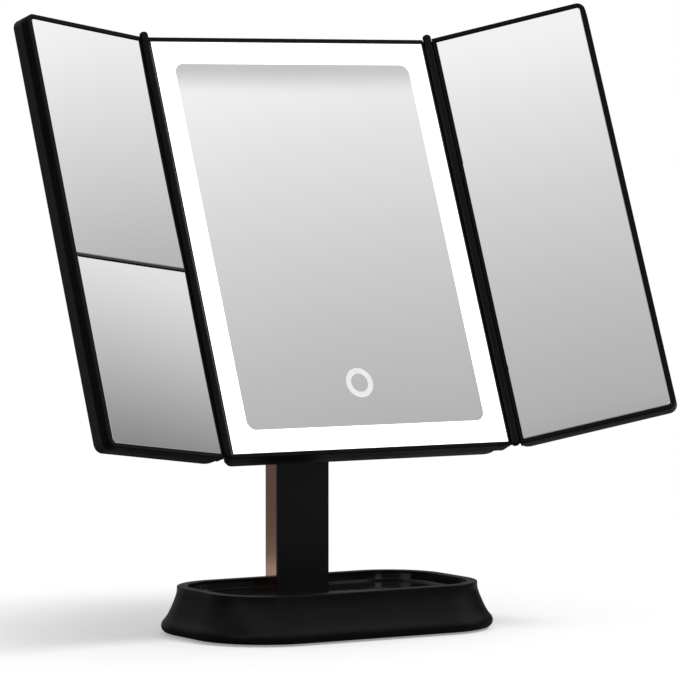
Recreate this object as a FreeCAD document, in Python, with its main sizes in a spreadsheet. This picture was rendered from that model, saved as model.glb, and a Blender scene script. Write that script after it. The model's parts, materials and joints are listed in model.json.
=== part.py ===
import FreeCAD, Part
import math
import os
import Sketcher

# Three-panel lighted makeup mirror on a column with a tray base, in millimetres.
# +Z is up, +Y is to the rear, and the origin is the middle of the base on the table.

doc = FreeCAD.newDocument("makeup_mirror")

# Driving sizes: alias and value. Angles are in degrees.
driving = [
    # base and tray
    ("rim_length", 151.6), ("rim_depth", 88.6), ("rim_corner", 32.0), ("rim_width", 5.6),
    ("base_height", 24.0), ("base_flare", 7.8), ("base_wall", 2.6),
    ("tray_recess", 5.0), ("tray_floor", 1.8), ("tray_flange", 2.4),
    ("bottom_thick", 2.0), ("bottom_lift", 1.0),
    ("foot_width", 4.0), ("foot_margin", 1.0), ("foot_seat", 0.8),
    # cells and their compartment
    ("cell_diameter", 14.2), ("cell_length", 49.3), ("cell_nub_diameter", 5.4), ("cell_nub_length", 1.2),
    ("cell_gap", 0.6), ("compartment_wall", 1.6), ("contact_thick", 0.5), ("contact_width", 9.0),
    ("contact_height", 10.0), ("door_thick", 1.4), ("door_margin", 2.4), ("door_latch_width", 12.0),
    ("door_latch_length", 5.0),
    # column
    ("column_width", 30.2), ("column_depth", 14.2), ("column_setback", 20.6), ("column_corner", 2.0),
    ("column_wall", 1.6), ("column_panel_thick", 2.0), ("column_panel_round", 0.8), ("column_top_gap", 12.0),
    ("column_flange_thick", 2.5), ("column_flange_margin", 7.0),
    # tilting hinge
    ("pivot_z", 189.2), ("pivot_pin_diameter", 5.0), ("knuckle_diameter", 13.0), ("knuckle_width", 14.0),
    ("ear_thick", 4.0), ("ear_diameter", 14.0), ("washer_thick", 0.8), ("washer_diameter", 11.0),
    ("pin_head_diameter", 9.0), ("pin_head_thick", 2.0), ("bracket_plate_thick", 2.5),
    ("bracket_plate_height", 44.0), ("bracket_plate_width", 40.0), ("bracket_corner", 5.0),
    ("bracket_edge", 0.8), ("bracket_pad", 3.0), ("plug_depth", 24.0), ("tilt_angle", 22.4),
    # middle panel
    ("head_reach", 33.6), ("head_z", 195.8), ("frame_edge", 0.5),
    ("lit_width", 160.0), ("lit_height", 217.6), ("side_lip", 1.3), ("end_lip", 2.2), ("frame_corner", 1.0),
    ("frame_depth", 8.0), ("rear_lip", 1.2), ("head_depth", 16.5), ("cover_wall", 1.8), ("cover_round", 2.2),
    ("cover_side_round", 5.0), ("cover_corner", 4.0), ("cover_side_inset", 3.4), ("cover_end_inset", 0.4),
    ("carrier_inset", 5.0), ("glass_recess", 0.6), ("glass_thick", 3.0), ("lit_border_side", 11.1),
    ("lit_border_end", 11.9), ("mirror_corner", 5.0), ("ring_outer", 15.5), ("ring_inner", 9.5),
    ("ring_depth", 0.4), ("ring_rise", 22.4), ("carrier_thick", 1.4), ("board_thick", 1.2),
    ("board_height", 3.0), ("led_size", 2.0), ("led_height", 0.8),
    ("sensor_diameter", 20.0), ("sensor_thick", 0.8),
    ("control_width", 52.0), ("control_height", 30.0), ("control_lift", 42.0),
    # wings and their hinges
    ("hinge_gap", 3.5), ("hinge_lead", 0.4), ("barrel_diameter", 4.3), ("hinge_pin_diameter", 2.0),
    ("end_knuckle", 12.0), ("knuckle_rise", 2.4), ("knuckle_drop", 0.4), ("knuckle_dome", 1.65),
    ("knuckle_slack", 0.12), ("hinge_web", 2.0), ("strip_thick", 1.0), ("strip_seam", 0.15),
    ("wing_meeting_gap", 0.4), ("wing_end_lip", 2.1), ("wing_frame_depth", 5.0),
    ("left_glass_start", 2.6), ("left_outer_lip", 2.6), ("right_glass_start", 3.9), ("right_outer_lip", 2.4),
    ("wing_depth", 11.6), ("wing_wall", 1.5), ("wing_round", 2.2), ("wing_side_round", 5.0),
    ("wing_corner", 4.5),
    ("wing_glass_thick", 2.0), ("wing_glass_recess", 0.25), ("backing_thick", 1.5),
    ("divider_thick", 1.2), ("divider_depth", 4.0), ("divider_drop", 13.7),
    ("upper_glass_radius", 6000.0), ("lower_glass_radius", 5000.0),
    ("left_fold_angle", 19.8), ("right_fold_angle", 38.5),
    # fasteners and fits
    ("boss_wall", 1.8), ("screw_diameter", 2.6), ("screw_head_diameter", 5.0), ("screw_head_thick", 1.0),
    ("screw_length", 5.0), ("recess_length", 3.0), ("recess_width", 0.7), ("recess_depth", 0.6),
    ("fit_gap", 0.1), ("running_gap", 0.05), ("overrun", 2.0),
]

# Sizes worked out from the driving ones.
worked_out = [
    ("shell_height", "base_height - bottom_lift"),
    ("tray_length", "rim_length - 2 * rim_width"),
    ("tray_depth", "rim_depth - 2 * rim_width"),
    ("tray_corner", "rim_corner - rim_width"),
    ("tray_floor_z", "base_height - tray_recess"),
    ("tray_under_z", "tray_floor_z - tray_floor"),
    ("cavity_length", "rim_length - 2 * base_wall"),
    ("cavity_depth", "rim_depth - 2 * base_wall"),
    ("cavity_corner", "rim_corner - base_wall"),
    ("bottom_top_z", "bottom_lift + bottom_thick"),
    ("column_front_y", "rim_depth / 2 - column_setback"),
    ("column_y", "column_front_y + column_depth / 2"),
    ("head_y", "column_y - head_reach"),
    ("pivot_back", "head_reach * cos(tilt_angle * 1 deg) - (pivot_z - head_z) * sin(tilt_angle * 1 deg)"),
    ("pivot_up", "head_reach * sin(tilt_angle * 1 deg) + (pivot_z - head_z) * cos(tilt_angle * 1 deg)"),
    ("column_top_z", "pivot_z - column_top_gap"),
    ("frame_width", "lit_width + 2 * side_lip"),
    ("frame_height", "lit_height + 2 * end_lip"),
    ("cover_width", "frame_width - 2 * cover_side_inset"),
    ("cover_height", "frame_height - 2 * cover_end_inset"),
    ("glass_width", "lit_width - 2 * lit_border_side"),
    ("glass_height", "lit_height - 2 * lit_border_end"),
    ("glass_back", "glass_recess + glass_thick"),
    ("ring_drop", "glass_height / 2 - ring_rise"),
    ("carrier_back", "head_depth - cover_wall"),
    ("axis_x", "lit_width / 2 + hinge_gap"),
    ("knuckle_high", "frame_height / 2 + knuckle_rise"),
    ("knuckle_low", "- frame_height / 2 - knuckle_drop"),
    ("knuckle_web", "end_knuckle - knuckle_rise - frame_corner"),
    ("barrel_low", "knuckle_low + end_knuckle + knuckle_slack"),
    ("barrel_length", "knuckle_high - end_knuckle - knuckle_slack - barrel_low"),
    ("barrel_middle", "barrel_low + barrel_length / 2"),
    ("strip_front", "barrel_diameter / 2 + knuckle_slack - hinge_lead"),
    ("strip_height", "frame_height - 2 * frame_corner"),
    ("pin_low", "knuckle_low + barrel_diameter / 2"),
    ("pin_length", "knuckle_high - barrel_diameter / 2 - pin_low"),
    ("wing_start", "barrel_diameter / 2 + knuckle_slack"),
    ("wing_end", "axis_x - wing_meeting_gap / 2"),
    ("wing_width", "wing_end - wing_start"),
    ("wing_glass_height", "frame_height - 2 * wing_end_lip"),
    ("left_glass_width", "wing_end - left_outer_lip - left_glass_start"),
    ("left_glass_middle", "left_glass_start + left_glass_width / 2"),
    ("right_glass_width", "wing_end - right_outer_lip - right_glass_start"),
    ("right_glass_middle", "right_glass_start + right_glass_width / 2"),
    ("wing_middle", "(wing_start + wing_end) / 2"),
    ("cell_row_length", "2 * cell_length + 2 * cell_nub_length + cell_gap"),
    ("compartment_length", "cell_row_length + 4 * contact_thick + 2 * cell_gap"),
    ("compartment_depth", "2 * cell_diameter + 3 * cell_gap"),
    ("hinge_half_width", "knuckle_width / 2 + washer_thick"),
    ("cover_screw_x", "glass_width / 2 - 1.5 * mirror_corner"),
    ("upper_high", "wing_glass_height / 2"),
    ("upper_low", "- divider_drop + divider_thick / 2"),
    ("lower_high", "- divider_drop - divider_thick / 2"),
    ("lower_low", "- wing_glass_height / 2"),
    ("pane_half_width", "left_glass_width / 2 - fit_gap"),
    ("upper_half_height", "(upper_high - upper_low) / 2 - fit_gap"),
    ("lower_half_height", "(lower_high - lower_low) / 2 - fit_gap"),
    ("upper_middle", "(upper_high + upper_low) / 2"),
    ("lower_middle", "(lower_high + lower_low) / 2"),
    ("upper_reach", "sqrt(upper_glass_radius ^ 2 - pane_half_width ^ 2 - upper_half_height ^ 2)"),
    ("lower_reach", "sqrt(lower_glass_radius ^ 2 - pane_half_width ^ 2 - lower_half_height ^ 2)"),
]

# Shares of the base height and of its flare for the sections of the outer wall.
wall_height_shares = (0.0, 0.05, 0.16, 0.28, 0.45, 0.68, 1.0)
wall_flare_shares = (0.72, 0.93, 1.0, 0.78, 0.47, 0.17, 0.0)
# Places of the screws, as shares of half the width and half the height of the piece they hold.
base_screw_shares = ((-0.45, -0.72), (0.45, -0.72), (-0.45, 0.72), (0.45, 0.72))
cover_screw_shares = ((-1.0, -0.8), (1.0, -0.8), (-1.0, 0.8), (1.0, 0.8))
bracket_screw_shares = ((-0.76, -0.78), (0.76, -0.78), (-0.76, 0.78), (0.76, 0.78))
leds_along_side = 16
leds_along_end = 12
# Half size and corner of a rough outline, before its constraints set it.
rough_half = 10.0
rough_corner = 2.0
# Two places nearer than this count as one.
same_place = 1e-4

base_screw_spots = [("%s * cavity_length / 2" % x, "%s * cavity_depth / 2" % y) for x, y in base_screw_shares]
cover_screw_spots = [("%s * cover_screw_x" % x, "%s * glass_height / 2" % z) for x, z in cover_screw_shares]
bracket_screw_spots = [("%s * bracket_plate_width / 2" % x, "pivot_up + %s * bracket_plate_height / 2" % z)
                       for x, z in bracket_screw_shares]
column_screw_spots = [("%d * ( column_width + column_flange_margin ) / 2" % side, "column_y")
                      for side in (-1, 1)]

sheet = doc.addObject("Spreadsheet::Sheet", "Dims")
row = 0
for alias, number in driving:
    row += 1
    sheet.set("A%d" % row, str(number))
    sheet.setAlias("A%d" % row, alias)
for alias, formula in worked_out:
    row += 1
    sheet.set("A%d" % row, "=" + formula)
    sheet.setAlias("A%d" % row, alias)
doc.recompute()

names = {alias for alias, entry in driving + worked_out}
finished = {}


def size(alias):
    return float(sheet.get(alias))


def tied(formula):
    words = []
    for word in formula.replace("(", " ( ").replace(")", " ) ").split():
        words.append("Dims." + word if word in names else word)
    return " ".join(words)


def bind(thing, prop, formula):
    thing.setExpression(prop, tied(formula))


def finish(thing, label, placement=None):
    thing.Label = label
    if placement is not None:
        thing.Placement = placement
    finished[label] = thing
    return thing


# Plain solids with tied sizes
def box(name, sizes, corner):
    thing = doc.addObject("Part::Box", name)
    for prop, formula in zip(("Length", "Width", "Height"), sizes):
        bind(thing, prop, formula)
    for letter, formula in zip("xyz", corner):
        bind(thing, "Placement.Base." + letter, formula)
    return thing


def rod(name, diameter, length, start, along="z"):
    thing = doc.addObject("Part::Cylinder", name)
    bind(thing, "Radius", "( " + diameter + " ) / 2")
    bind(thing, "Height", length)
    turns = {"x": FreeCAD.Rotation(FreeCAD.Vector(0, 1, 0), 90), "z": FreeCAD.Rotation(),
             "y": FreeCAD.Rotation(FreeCAD.Vector(1, 0, 0), -90)}
    thing.Placement = FreeCAD.Placement(FreeCAD.Vector(), turns[along])
    for letter, formula in zip("xyz", start):
        bind(thing, "Placement.Base." + letter, formula)
    return thing


def ball(name, radius, middle):
    thing = doc.addObject("Part::Sphere", name)
    bind(thing, "Radius", radius)
    for letter, formula in zip("xyz", middle):
        bind(thing, "Placement.Base." + letter, formula)
    return thing


def cut(name, base, tool):
    thing = doc.addObject("Part::Cut", name)
    thing.Base = base
    thing.Tool = tool
    return thing


def common(name, base, tool):
    thing = doc.addObject("Part::Common", name)
    thing.Base = base
    thing.Tool = tool
    return thing


def fuse(name, shapes):
    thing = doc.addObject("Part::MultiFuse", name)
    thing.Shapes = shapes
    return thing


def group(name, links):
    thing = doc.addObject("Part::Compound", name)
    thing.Links = links
    return thing


# Sketched bodies
def new_body(name):
    return doc.addObject("PartDesign::Body", name)


def add_sketch(body, name, role, lift="0"):
    sketch = body.newObject("Sketcher::SketchObject", name)
    plane = [feature for feature in body.Origin.OriginFeatures if feature.Role == role][0]
    sketch.AttachmentSupport = (plane, [""])
    sketch.MapMode = "FlatFace"
    bind(sketch, "AttachmentOffset.Base.z", lift)
    return sketch


def hold(sketch, constraint, formula):
    index = sketch.addConstraint(constraint)
    bind(sketch, "Constraints[%d]" % index, formula)


def draw_circle(sketch, diameter, across="0", up="0"):
    index = sketch.addGeometry(Part.Circle(FreeCAD.Vector(), FreeCAD.Vector(0, 0, 1), rough_corner), False)
    hold(sketch, Sketcher.Constraint("Diameter", index, 2 * rough_corner), diameter)
    hold(sketch, Sketcher.Constraint("DistanceX", -1, 1, index, 3, 0), across)
    hold(sketch, Sketcher.Constraint("DistanceY", -1, 1, index, 3, 0), up)


def draw_rectangle(sketch, width, height, corner=None, across="0", up="0"):
    # The outline is drawn rough, and the constraints set it.
    half = rough_half
    r = rough_corner if corner else 0.0
    v = FreeCAD.Vector
    first = sketch.GeometryCount
    spots = [(v(-half + r, half), v(half - r, half)), (v(half, half - r), v(half, -half + r)),
             (v(half - r, -half), v(-half + r, -half)), (v(-half, -half + r), v(-half, half - r))]
    for start, end in spots:
        sketch.addGeometry(Part.LineSegment(start, end), False)
    top, right, bottom, left = range(first, first + 4)
    for line in (top, bottom):
        sketch.addConstraint(Sketcher.Constraint("Horizontal", line))
    for line in (right, left):
        sketch.addConstraint(Sketcher.Constraint("Vertical", line))
    ring = (top, right, bottom, left)
    if corner:
        near = half - r
        middles = (v(near, near), v(near, -near), v(-near, -near), v(-near, near))
        quarter = math.pi / 2
        arcs = []
        for count, middle in enumerate(middles):
            circle = Part.Circle(middle, v(0, 0, 1), r)
            arc = Part.ArcOfCircle(circle, quarter * (0 - count), quarter * (1 - count))
            arcs.append(sketch.addGeometry(arc, False))
        for count, arc in enumerate(arcs):
            line = ring[count]
            after = ring[(count + 1) % 4]
            sketch.addConstraint(Sketcher.Constraint("Tangent", line, 2, arc, 2))
            sketch.addConstraint(Sketcher.Constraint("Tangent", arc, 1, after, 1))
        for arc in arcs[1:]:
            sketch.addConstraint(Sketcher.Constraint("Equal", arcs[0], arc))
        hold(sketch, Sketcher.Constraint("Radius", arcs[0], r), corner)
    else:
        for count, line in enumerate(ring):
            sketch.addConstraint(Sketcher.Constraint("Coincident", line, 2, ring[(count + 1) % 4], 1))
    hold(sketch, Sketcher.Constraint("DistanceX", left, 1, right, 1, 2 * half), width)
    hold(sketch, Sketcher.Constraint("DistanceY", bottom, 1, top, 1, 2 * half), height)
    hold(sketch, Sketcher.Constraint("DistanceX", -1, 1, left, 1, -half), across + " - ( " + width + " ) / 2")
    hold(sketch, Sketcher.Constraint("DistanceY", -1, 1, bottom, 1, -half), up + " - ( " + height + " ) / 2")


def feature(body, kind, name, sketch, length, backwards=False, midplane=False):
    thing = body.newObject("PartDesign::" + kind, name)
    thing.Profile = sketch
    thing.Type = 0
    bind(thing, "Length", length)
    thing.Reversed = backwards
    thing.Midplane = midplane
    return thing


def round_edges(body, name, radius, wanted):
    doc.recompute()
    tip = body.Tip
    edges = ["Edge%d" % (count + 1) for count, edge in enumerate(tip.Shape.Edges) if wanted(edge)]
    thing = body.newObject("PartDesign::Fillet", name)
    thing.Base = (tip, edges)
    bind(thing, "Radius", radius)
    return thing


def level(edge, axis, place):
    return all(abs(vertex.Point[axis] - place) < same_place for vertex in edge.Vertexes)


# Each screw has a head with a cross recess on its seat, and a shank that runs inwards from the seat.
def screws(label, spots, seat, along, inwards, length, place=None):
    made = []
    axis = "xyz".index(along)
    first, second = [number for number in range(3) if number != axis]
    for count, spot in enumerate(spots):
        head_start = list(spot)
        shank_start = list(spot)
        head_start[axis] = seat + (" - screw_head_thick" if inwards > 0 else "")
        shank_start[axis] = seat + ("" if inwards > 0 else " - ( " + length + " )")
        head = rod("%s_head_%d" % (label, count), "screw_head_diameter", "screw_head_thick", head_start, along)
        shank = rod("%s_shank_%d" % (label, count), "screw_diameter", length, shank_start, along)
        blank = fuse("%s_blank_%d" % (label, count), [head, shank])
        arms = []
        for long_way, short_way in ((first, second), (second, first)):
            reach = ["recess_depth + overrun"] * 3
            reach[long_way] = "recess_length"
            reach[short_way] = "recess_width"
            corner = list(spot)
            corner[axis] = seat + (" - screw_head_thick - overrun" if inwards > 0
                                   else " + screw_head_thick - recess_depth")
            corner[long_way] += " - recess_length / 2"
            corner[short_way] += " - recess_width / 2"
            arms.append(box("%s_arm_%d_%d" % (label, count, long_way), reach, corner))
        recess = fuse("%s_recess_%d" % (label, count), arms)
        made.append(cut("%s_%d" % (label, count), blank, recess))
    return finish(group(label + "_set", made), label, place)


# Base: one flared wall with a rim, hollow underneath
def build_base_shell():
    body = new_body("base_shell")
    sections = []
    for count, share in enumerate(zip(wall_height_shares, wall_flare_shares)):
        height_share, flare_share = share
        lift = "bottom_lift + shell_height * %s" % height_share
        section = add_sketch(body, "wall_section_%d" % count, "XY_Plane", lift)
        grown = "2 * base_flare * %s" % flare_share
        draw_rectangle(section, "rim_length + " + grown, "rim_depth + " + grown,
                       "rim_corner + base_flare * %s" % flare_share)
        sections.append(section)
    doc.recompute()
    wall = body.newObject("PartDesign::AdditiveLoft", "wall")
    wall.Profile = sections[0]
    wall.Sections = sections[1:]
    wall.Ruled = False
    mouth = add_sketch(body, "tray_mouth", "XY_Plane", "base_height + overrun")
    draw_rectangle(mouth, "tray_length", "tray_depth", "tray_corner")
    feature(body, "Pocket", "mouth_cut", mouth, "base_height + 2 * overrun")
    hollow = add_sketch(body, "hollow", "XY_Plane", "tray_floor_z")
    draw_rectangle(hollow, "cavity_length", "cavity_depth", "cavity_corner")
    feature(body, "Pocket", "hollow_cut", hollow, "base_height")
    round_edges(body, "rim_round", "base_wall / 4", lambda edge: level(edge, 2, size("base_height")))
    return finish(body, "base_shell")


# Tray: a shallow glossy dish that hangs on a flange under the rim, with a socket for the column
def build_tray():
    body = new_body("tray_insert")
    flange = add_sketch(body, "flange", "XY_Plane", "tray_under_z")
    draw_rectangle(flange, "cavity_length - 2 * fit_gap", "cavity_depth - 2 * fit_gap",
                   "cavity_corner - fit_gap")
    feature(body, "Pad", "flange_pad", flange, "tray_floor")
    collar = add_sketch(body, "collar", "XY_Plane", "tray_floor_z")
    draw_rectangle(collar, "tray_length - 2 * fit_gap", "tray_depth - 2 * fit_gap", "tray_corner - fit_gap")
    feature(body, "Pad", "collar_pad", collar, "tray_recess - base_wall / 2")
    dish = add_sketch(body, "dish", "XY_Plane", "base_height")
    draw_rectangle(dish, "tray_length - 2 * tray_flange", "tray_depth - 2 * tray_flange",
                   "tray_corner - tray_flange")
    feature(body, "Pocket", "dish_cut", dish, "tray_recess")
    doc.recompute()
    inner_x = size("tray_length") / 2 - size("tray_flange") + size("fit_gap")
    inner_y = size("tray_depth") / 2 - size("tray_flange") + size("fit_gap")

    def in_dish(edge):
        reach = edge.BoundBox
        inside = max(reach.XMax, -reach.XMin) < inner_x and max(reach.YMax, -reach.YMin) < inner_y
        return inside and level(edge, 2, size("tray_floor_z"))

    round_edges(body, "dish_round", "tray_flange / 2", in_dish)
    slot = add_sketch(body, "column_slot", "XY_Plane", "base_height")
    draw_rectangle(slot, "column_width + 2 * fit_gap", "column_depth + 2 * fit_gap",
                   "column_panel_round + fit_gap", "0", "column_y")
    feature(body, "Pocket", "column_slot_cut", slot, "base_height")
    bosses = add_sketch(body, "bosses", "XY_Plane", "tray_under_z")
    bores = add_sketch(body, "boss_bores", "XY_Plane", "bottom_top_z")
    for across, up in base_screw_spots:
        draw_circle(bosses, "screw_diameter + 2 * boss_wall", across, up)
        draw_circle(bores, "screw_diameter", across, up)
    feature(body, "Pad", "bosses_pad", bosses, "tray_under_z - bottom_top_z", True)
    feature(body, "Pocket", "boss_bore_cut", bores, "screw_length + fit_gap", True)
    flange_bores = add_sketch(body, "flange_bores", "XY_Plane", "tray_under_z")
    for across, up in column_screw_spots:
        draw_circle(flange_bores, "screw_diameter", across, up)
    feature(body, "Pocket", "flange_bore_cut", flange_bores, "tray_floor - fit_gap", True)
    return finish(body, "tray_insert")


# The foot is a band that follows the edge of the bottom plate.
def draw_foot(sketch, margin, width):
    for inset in (margin, margin + " + " + width):
        inset = "( fit_gap + " + inset + " )"
        draw_rectangle(sketch, "cavity_length - 2 * " + inset, "cavity_depth - 2 * " + inset,
                       "cavity_corner - " + inset)


# Bottom plate with the walls of the cell compartment
def build_bottom_plate():
    body = new_body("base_bottom_plate")
    plate = add_sketch(body, "plate", "XY_Plane", "bottom_lift")
    draw_rectangle(plate, "cavity_length - 2 * fit_gap", "cavity_depth - 2 * fit_gap",
                   "cavity_corner - fit_gap")
    feature(body, "Pad", "plate_pad", plate, "bottom_thick")
    walls = add_sketch(body, "walls", "XY_Plane", "bottom_top_z")
    draw_rectangle(walls, "compartment_length + 2 * compartment_wall",
                   "compartment_depth + 2 * compartment_wall", None, "0", "- compartment_wall")
    feature(body, "Pad", "walls_pad", walls, "tray_under_z - bottom_top_z")
    well = add_sketch(body, "well", "XY_Plane", "tray_under_z")
    draw_rectangle(well, "compartment_length", "compartment_depth", None, "0", "- compartment_wall")
    feature(body, "Pocket", "well_cut", well, "base_height")
    seat = add_sketch(body, "door_seat", "XY_Plane")
    draw_rectangle(seat, "compartment_length + 2 * door_margin", "compartment_depth + 2 * door_margin", None,
                   "0", "- compartment_wall")
    feature(body, "Pocket", "door_seat_cut", seat, "bottom_lift + door_thick", True)
    groove = add_sketch(body, "foot_groove", "XY_Plane")
    draw_foot(groove, "foot_margin - fit_gap", "foot_width + 2 * fit_gap")
    feature(body, "Pocket", "foot_groove_cut", groove, "bottom_lift + foot_seat", True)
    heads = add_sketch(body, "screw_seats", "XY_Plane")
    holes = add_sketch(body, "screw_holes", "XY_Plane")
    for across, up in base_screw_spots:
        draw_circle(heads, "screw_head_diameter + 2 * fit_gap", across, up)
        draw_circle(holes, "screw_diameter + 2 * fit_gap", across, up)
    feature(body, "Pocket", "screw_seat_cut", heads, "bottom_top_z - screw_head_thick", True)
    feature(body, "Pocket", "screw_hole_cut", holes, "base_height", True)
    finish(body, "base_bottom_plate")
    spots = [(across, up, "0") for across, up in base_screw_spots]
    screws("base_screws", spots, "bottom_top_z - screw_head_thick", "z", 1, "screw_length")


def build_base_pieces():
    foot = new_body("rubber_foot")
    band = add_sketch(foot, "band", "XY_Plane")
    draw_foot(band, "foot_margin", "foot_width")
    feature(foot, "Pad", "band_pad", band, "bottom_lift + foot_seat")
    finish(foot, "rubber_foot")
    body = new_body("battery_door")
    leaf = add_sketch(body, "leaf", "XY_Plane", "bottom_lift")
    draw_rectangle(leaf, "compartment_length + 2 * door_margin - 2 * fit_gap",
                   "compartment_depth + 2 * door_margin - 2 * fit_gap", None, "0", "- compartment_wall")
    feature(body, "Pad", "leaf_pad", leaf, "door_thick")
    nick = add_sketch(body, "finger_nick", "XY_Plane", "bottom_lift")
    draw_rectangle(nick, "door_latch_length", "door_latch_width", None,
                   "compartment_length / 2 - door_latch_length", "- compartment_wall")
    feature(body, "Pocket", "finger_nick_cut", nick, "door_thick / 2", True)
    finish(body, "battery_door")
    cells = []
    contacts = []
    middle_z = "bottom_lift + door_thick + cell_gap / 2 + cell_diameter / 2"
    for count, line in enumerate((-1, 1)):
        across = "- compartment_wall + %d * ( cell_diameter + cell_gap ) / 2" % line
        for place in (0, 1):
            tag = "%d_%d" % (count, place)
            start = "cell_gap / 2" if place else "- cell_length - cell_nub_length - cell_gap / 2"
            can = rod("cell_can_" + tag, "cell_diameter", "cell_length", (start, across, middle_z), "x")
            nub = rod("cell_nub_" + tag, "cell_nub_diameter", "cell_nub_length",
                      (start + " + cell_length", across, middle_z), "x")
            cells.append(fuse("cell_" + tag, [can, nub]))
        for end in (-1, 1):
            start = "%d * compartment_length / 2" % end + (" - contact_thick" if end > 0 else "")
            corner = (start, across + " - contact_width / 2", middle_z + " - contact_height / 2")
            sizes = ("contact_thick", "contact_width", "contact_height")
            contacts.append(box("contact_%d_%d" % (count, end), sizes, corner))
    finish(group("cells", cells), "battery_cells")
    finish(group("contacts", contacts), "battery_contacts")


# Column: a plated channel with a black front panel, let into the base
def build_column():
    body = new_body("column_channel")
    outline = add_sketch(body, "outline", "XY_Plane", "tray_under_z")
    draw_rectangle(outline, "column_width", "column_depth", "column_corner", "0", "column_y")
    feature(body, "Pad", "channel_pad", outline, "column_top_z - tray_under_z")
    front = add_sketch(body, "panel_seat", "XY_Plane", "column_top_z")
    draw_rectangle(front, "column_width + overrun", "2 * column_panel_thick", None, "0", "column_front_y")
    feature(body, "Pocket", "panel_seat_cut", front, "column_top_z")
    bore = add_sketch(body, "bore", "XY_Plane", "column_top_z")
    draw_rectangle(bore, "column_width - 2 * column_wall", "column_depth - column_wall", None, "0",
                   "column_y - column_wall / 2")
    feature(body, "Pocket", "bore_cut", bore, "column_top_z")
    finish(body, "column_channel")
    panel = new_body("column_front_panel")
    face = add_sketch(panel, "face", "XY_Plane", "tray_under_z")
    draw_rectangle(face, "column_width", "column_panel_thick", None,
                   "0", "column_front_y + column_panel_thick / 2")
    feature(panel, "Pad", "face_pad", face, "column_top_z - tray_under_z")

    def front_upright(edge):
        return level(edge, 1, size("column_front_y")) and edge.BoundBox.ZLength > size("column_depth")

    round_edges(panel, "face_round", "column_panel_round", front_upright)
    finish(panel, "column_front_panel")
    foot = new_body("column_foot")
    flange = add_sketch(foot, "flange", "XY_Plane", "tray_under_z - column_flange_thick")
    draw_rectangle(flange, "column_width + 2 * column_flange_margin", "column_depth", "column_corner",
                   "0", "column_y")
    feature(foot, "Pad", "flange_pad", flange, "column_flange_thick")
    spigot = add_sketch(foot, "spigot", "XY_Plane", "tray_under_z")
    draw_rectangle(spigot, "column_width - 2 * column_wall - 2 * fit_gap",
                   "column_depth - column_wall - column_panel_thick - 2 * fit_gap", None, "0",
                   "column_y + ( column_panel_thick - column_wall ) / 2")
    feature(foot, "Pad", "spigot_pad", spigot, "plug_depth / 2")
    holes = add_sketch(foot, "screw_holes", "XY_Plane", "tray_under_z + overrun")
    for across, up in column_screw_spots:
        draw_circle(holes, "screw_diameter + 2 * fit_gap", across, up)
    feature(foot, "Pocket", "screw_hole_cut", holes, "column_flange_thick + 2 * overrun")
    finish(foot, "column_foot")
    spots = [(across, up, "0") for across, up in column_screw_spots]
    screws("column_screws", spots, "tray_under_z - column_flange_thick", "z", 1,
           "column_flange_thick + tray_floor - 2 * fit_gap")


# Tilting hinge: a knuckle plugged into the column, and a bracket with two ears on the head
def build_tilt_hinge():
    body = new_body("column_knuckle")
    plug = add_sketch(body, "plug", "XY_Plane", "column_top_z - plug_depth")
    draw_rectangle(plug, "column_width - 2 * column_wall - 2 * fit_gap",
                   "column_depth - column_wall - column_panel_thick - 2 * fit_gap", None, "0",
                   "column_y + ( column_panel_thick - column_wall ) / 2")
    feature(body, "Pad", "plug_pad", plug, "plug_depth")
    cap = add_sketch(body, "cap", "XY_Plane", "column_top_z")
    draw_rectangle(cap, "column_width", "column_depth", "column_corner", "0", "column_y")
    feature(body, "Pad", "cap_pad", cap, "column_wall")
    neck = add_sketch(body, "neck", "XY_Plane", "column_top_z")
    draw_rectangle(neck, "knuckle_width", "knuckle_diameter", None, "0", "column_y")
    feature(body, "Pad", "neck_pad", neck, "pivot_z - column_top_z")
    eye = add_sketch(body, "eye", "YZ_Plane")
    draw_circle(eye, "knuckle_diameter", "column_y", "pivot_z")
    feature(body, "Pad", "eye_pad", eye, "knuckle_width", False, True)
    bore = add_sketch(body, "bore", "YZ_Plane")
    draw_circle(bore, "pivot_pin_diameter + 2 * running_gap", "column_y", "pivot_z")
    feature(body, "Pocket", "bore_cut", bore, "2 * knuckle_width", False, True)
    finish(body, "column_knuckle")


# The head is drawn upright with its front plane at y = 0, then tilted into place.
head_turn = FreeCAD.Rotation(FreeCAD.Vector(1, 0, 0), -size("tilt_angle"))
head_place = FreeCAD.Placement(FreeCAD.Vector(0, size("head_y"), size("head_z")), head_turn)


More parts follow.
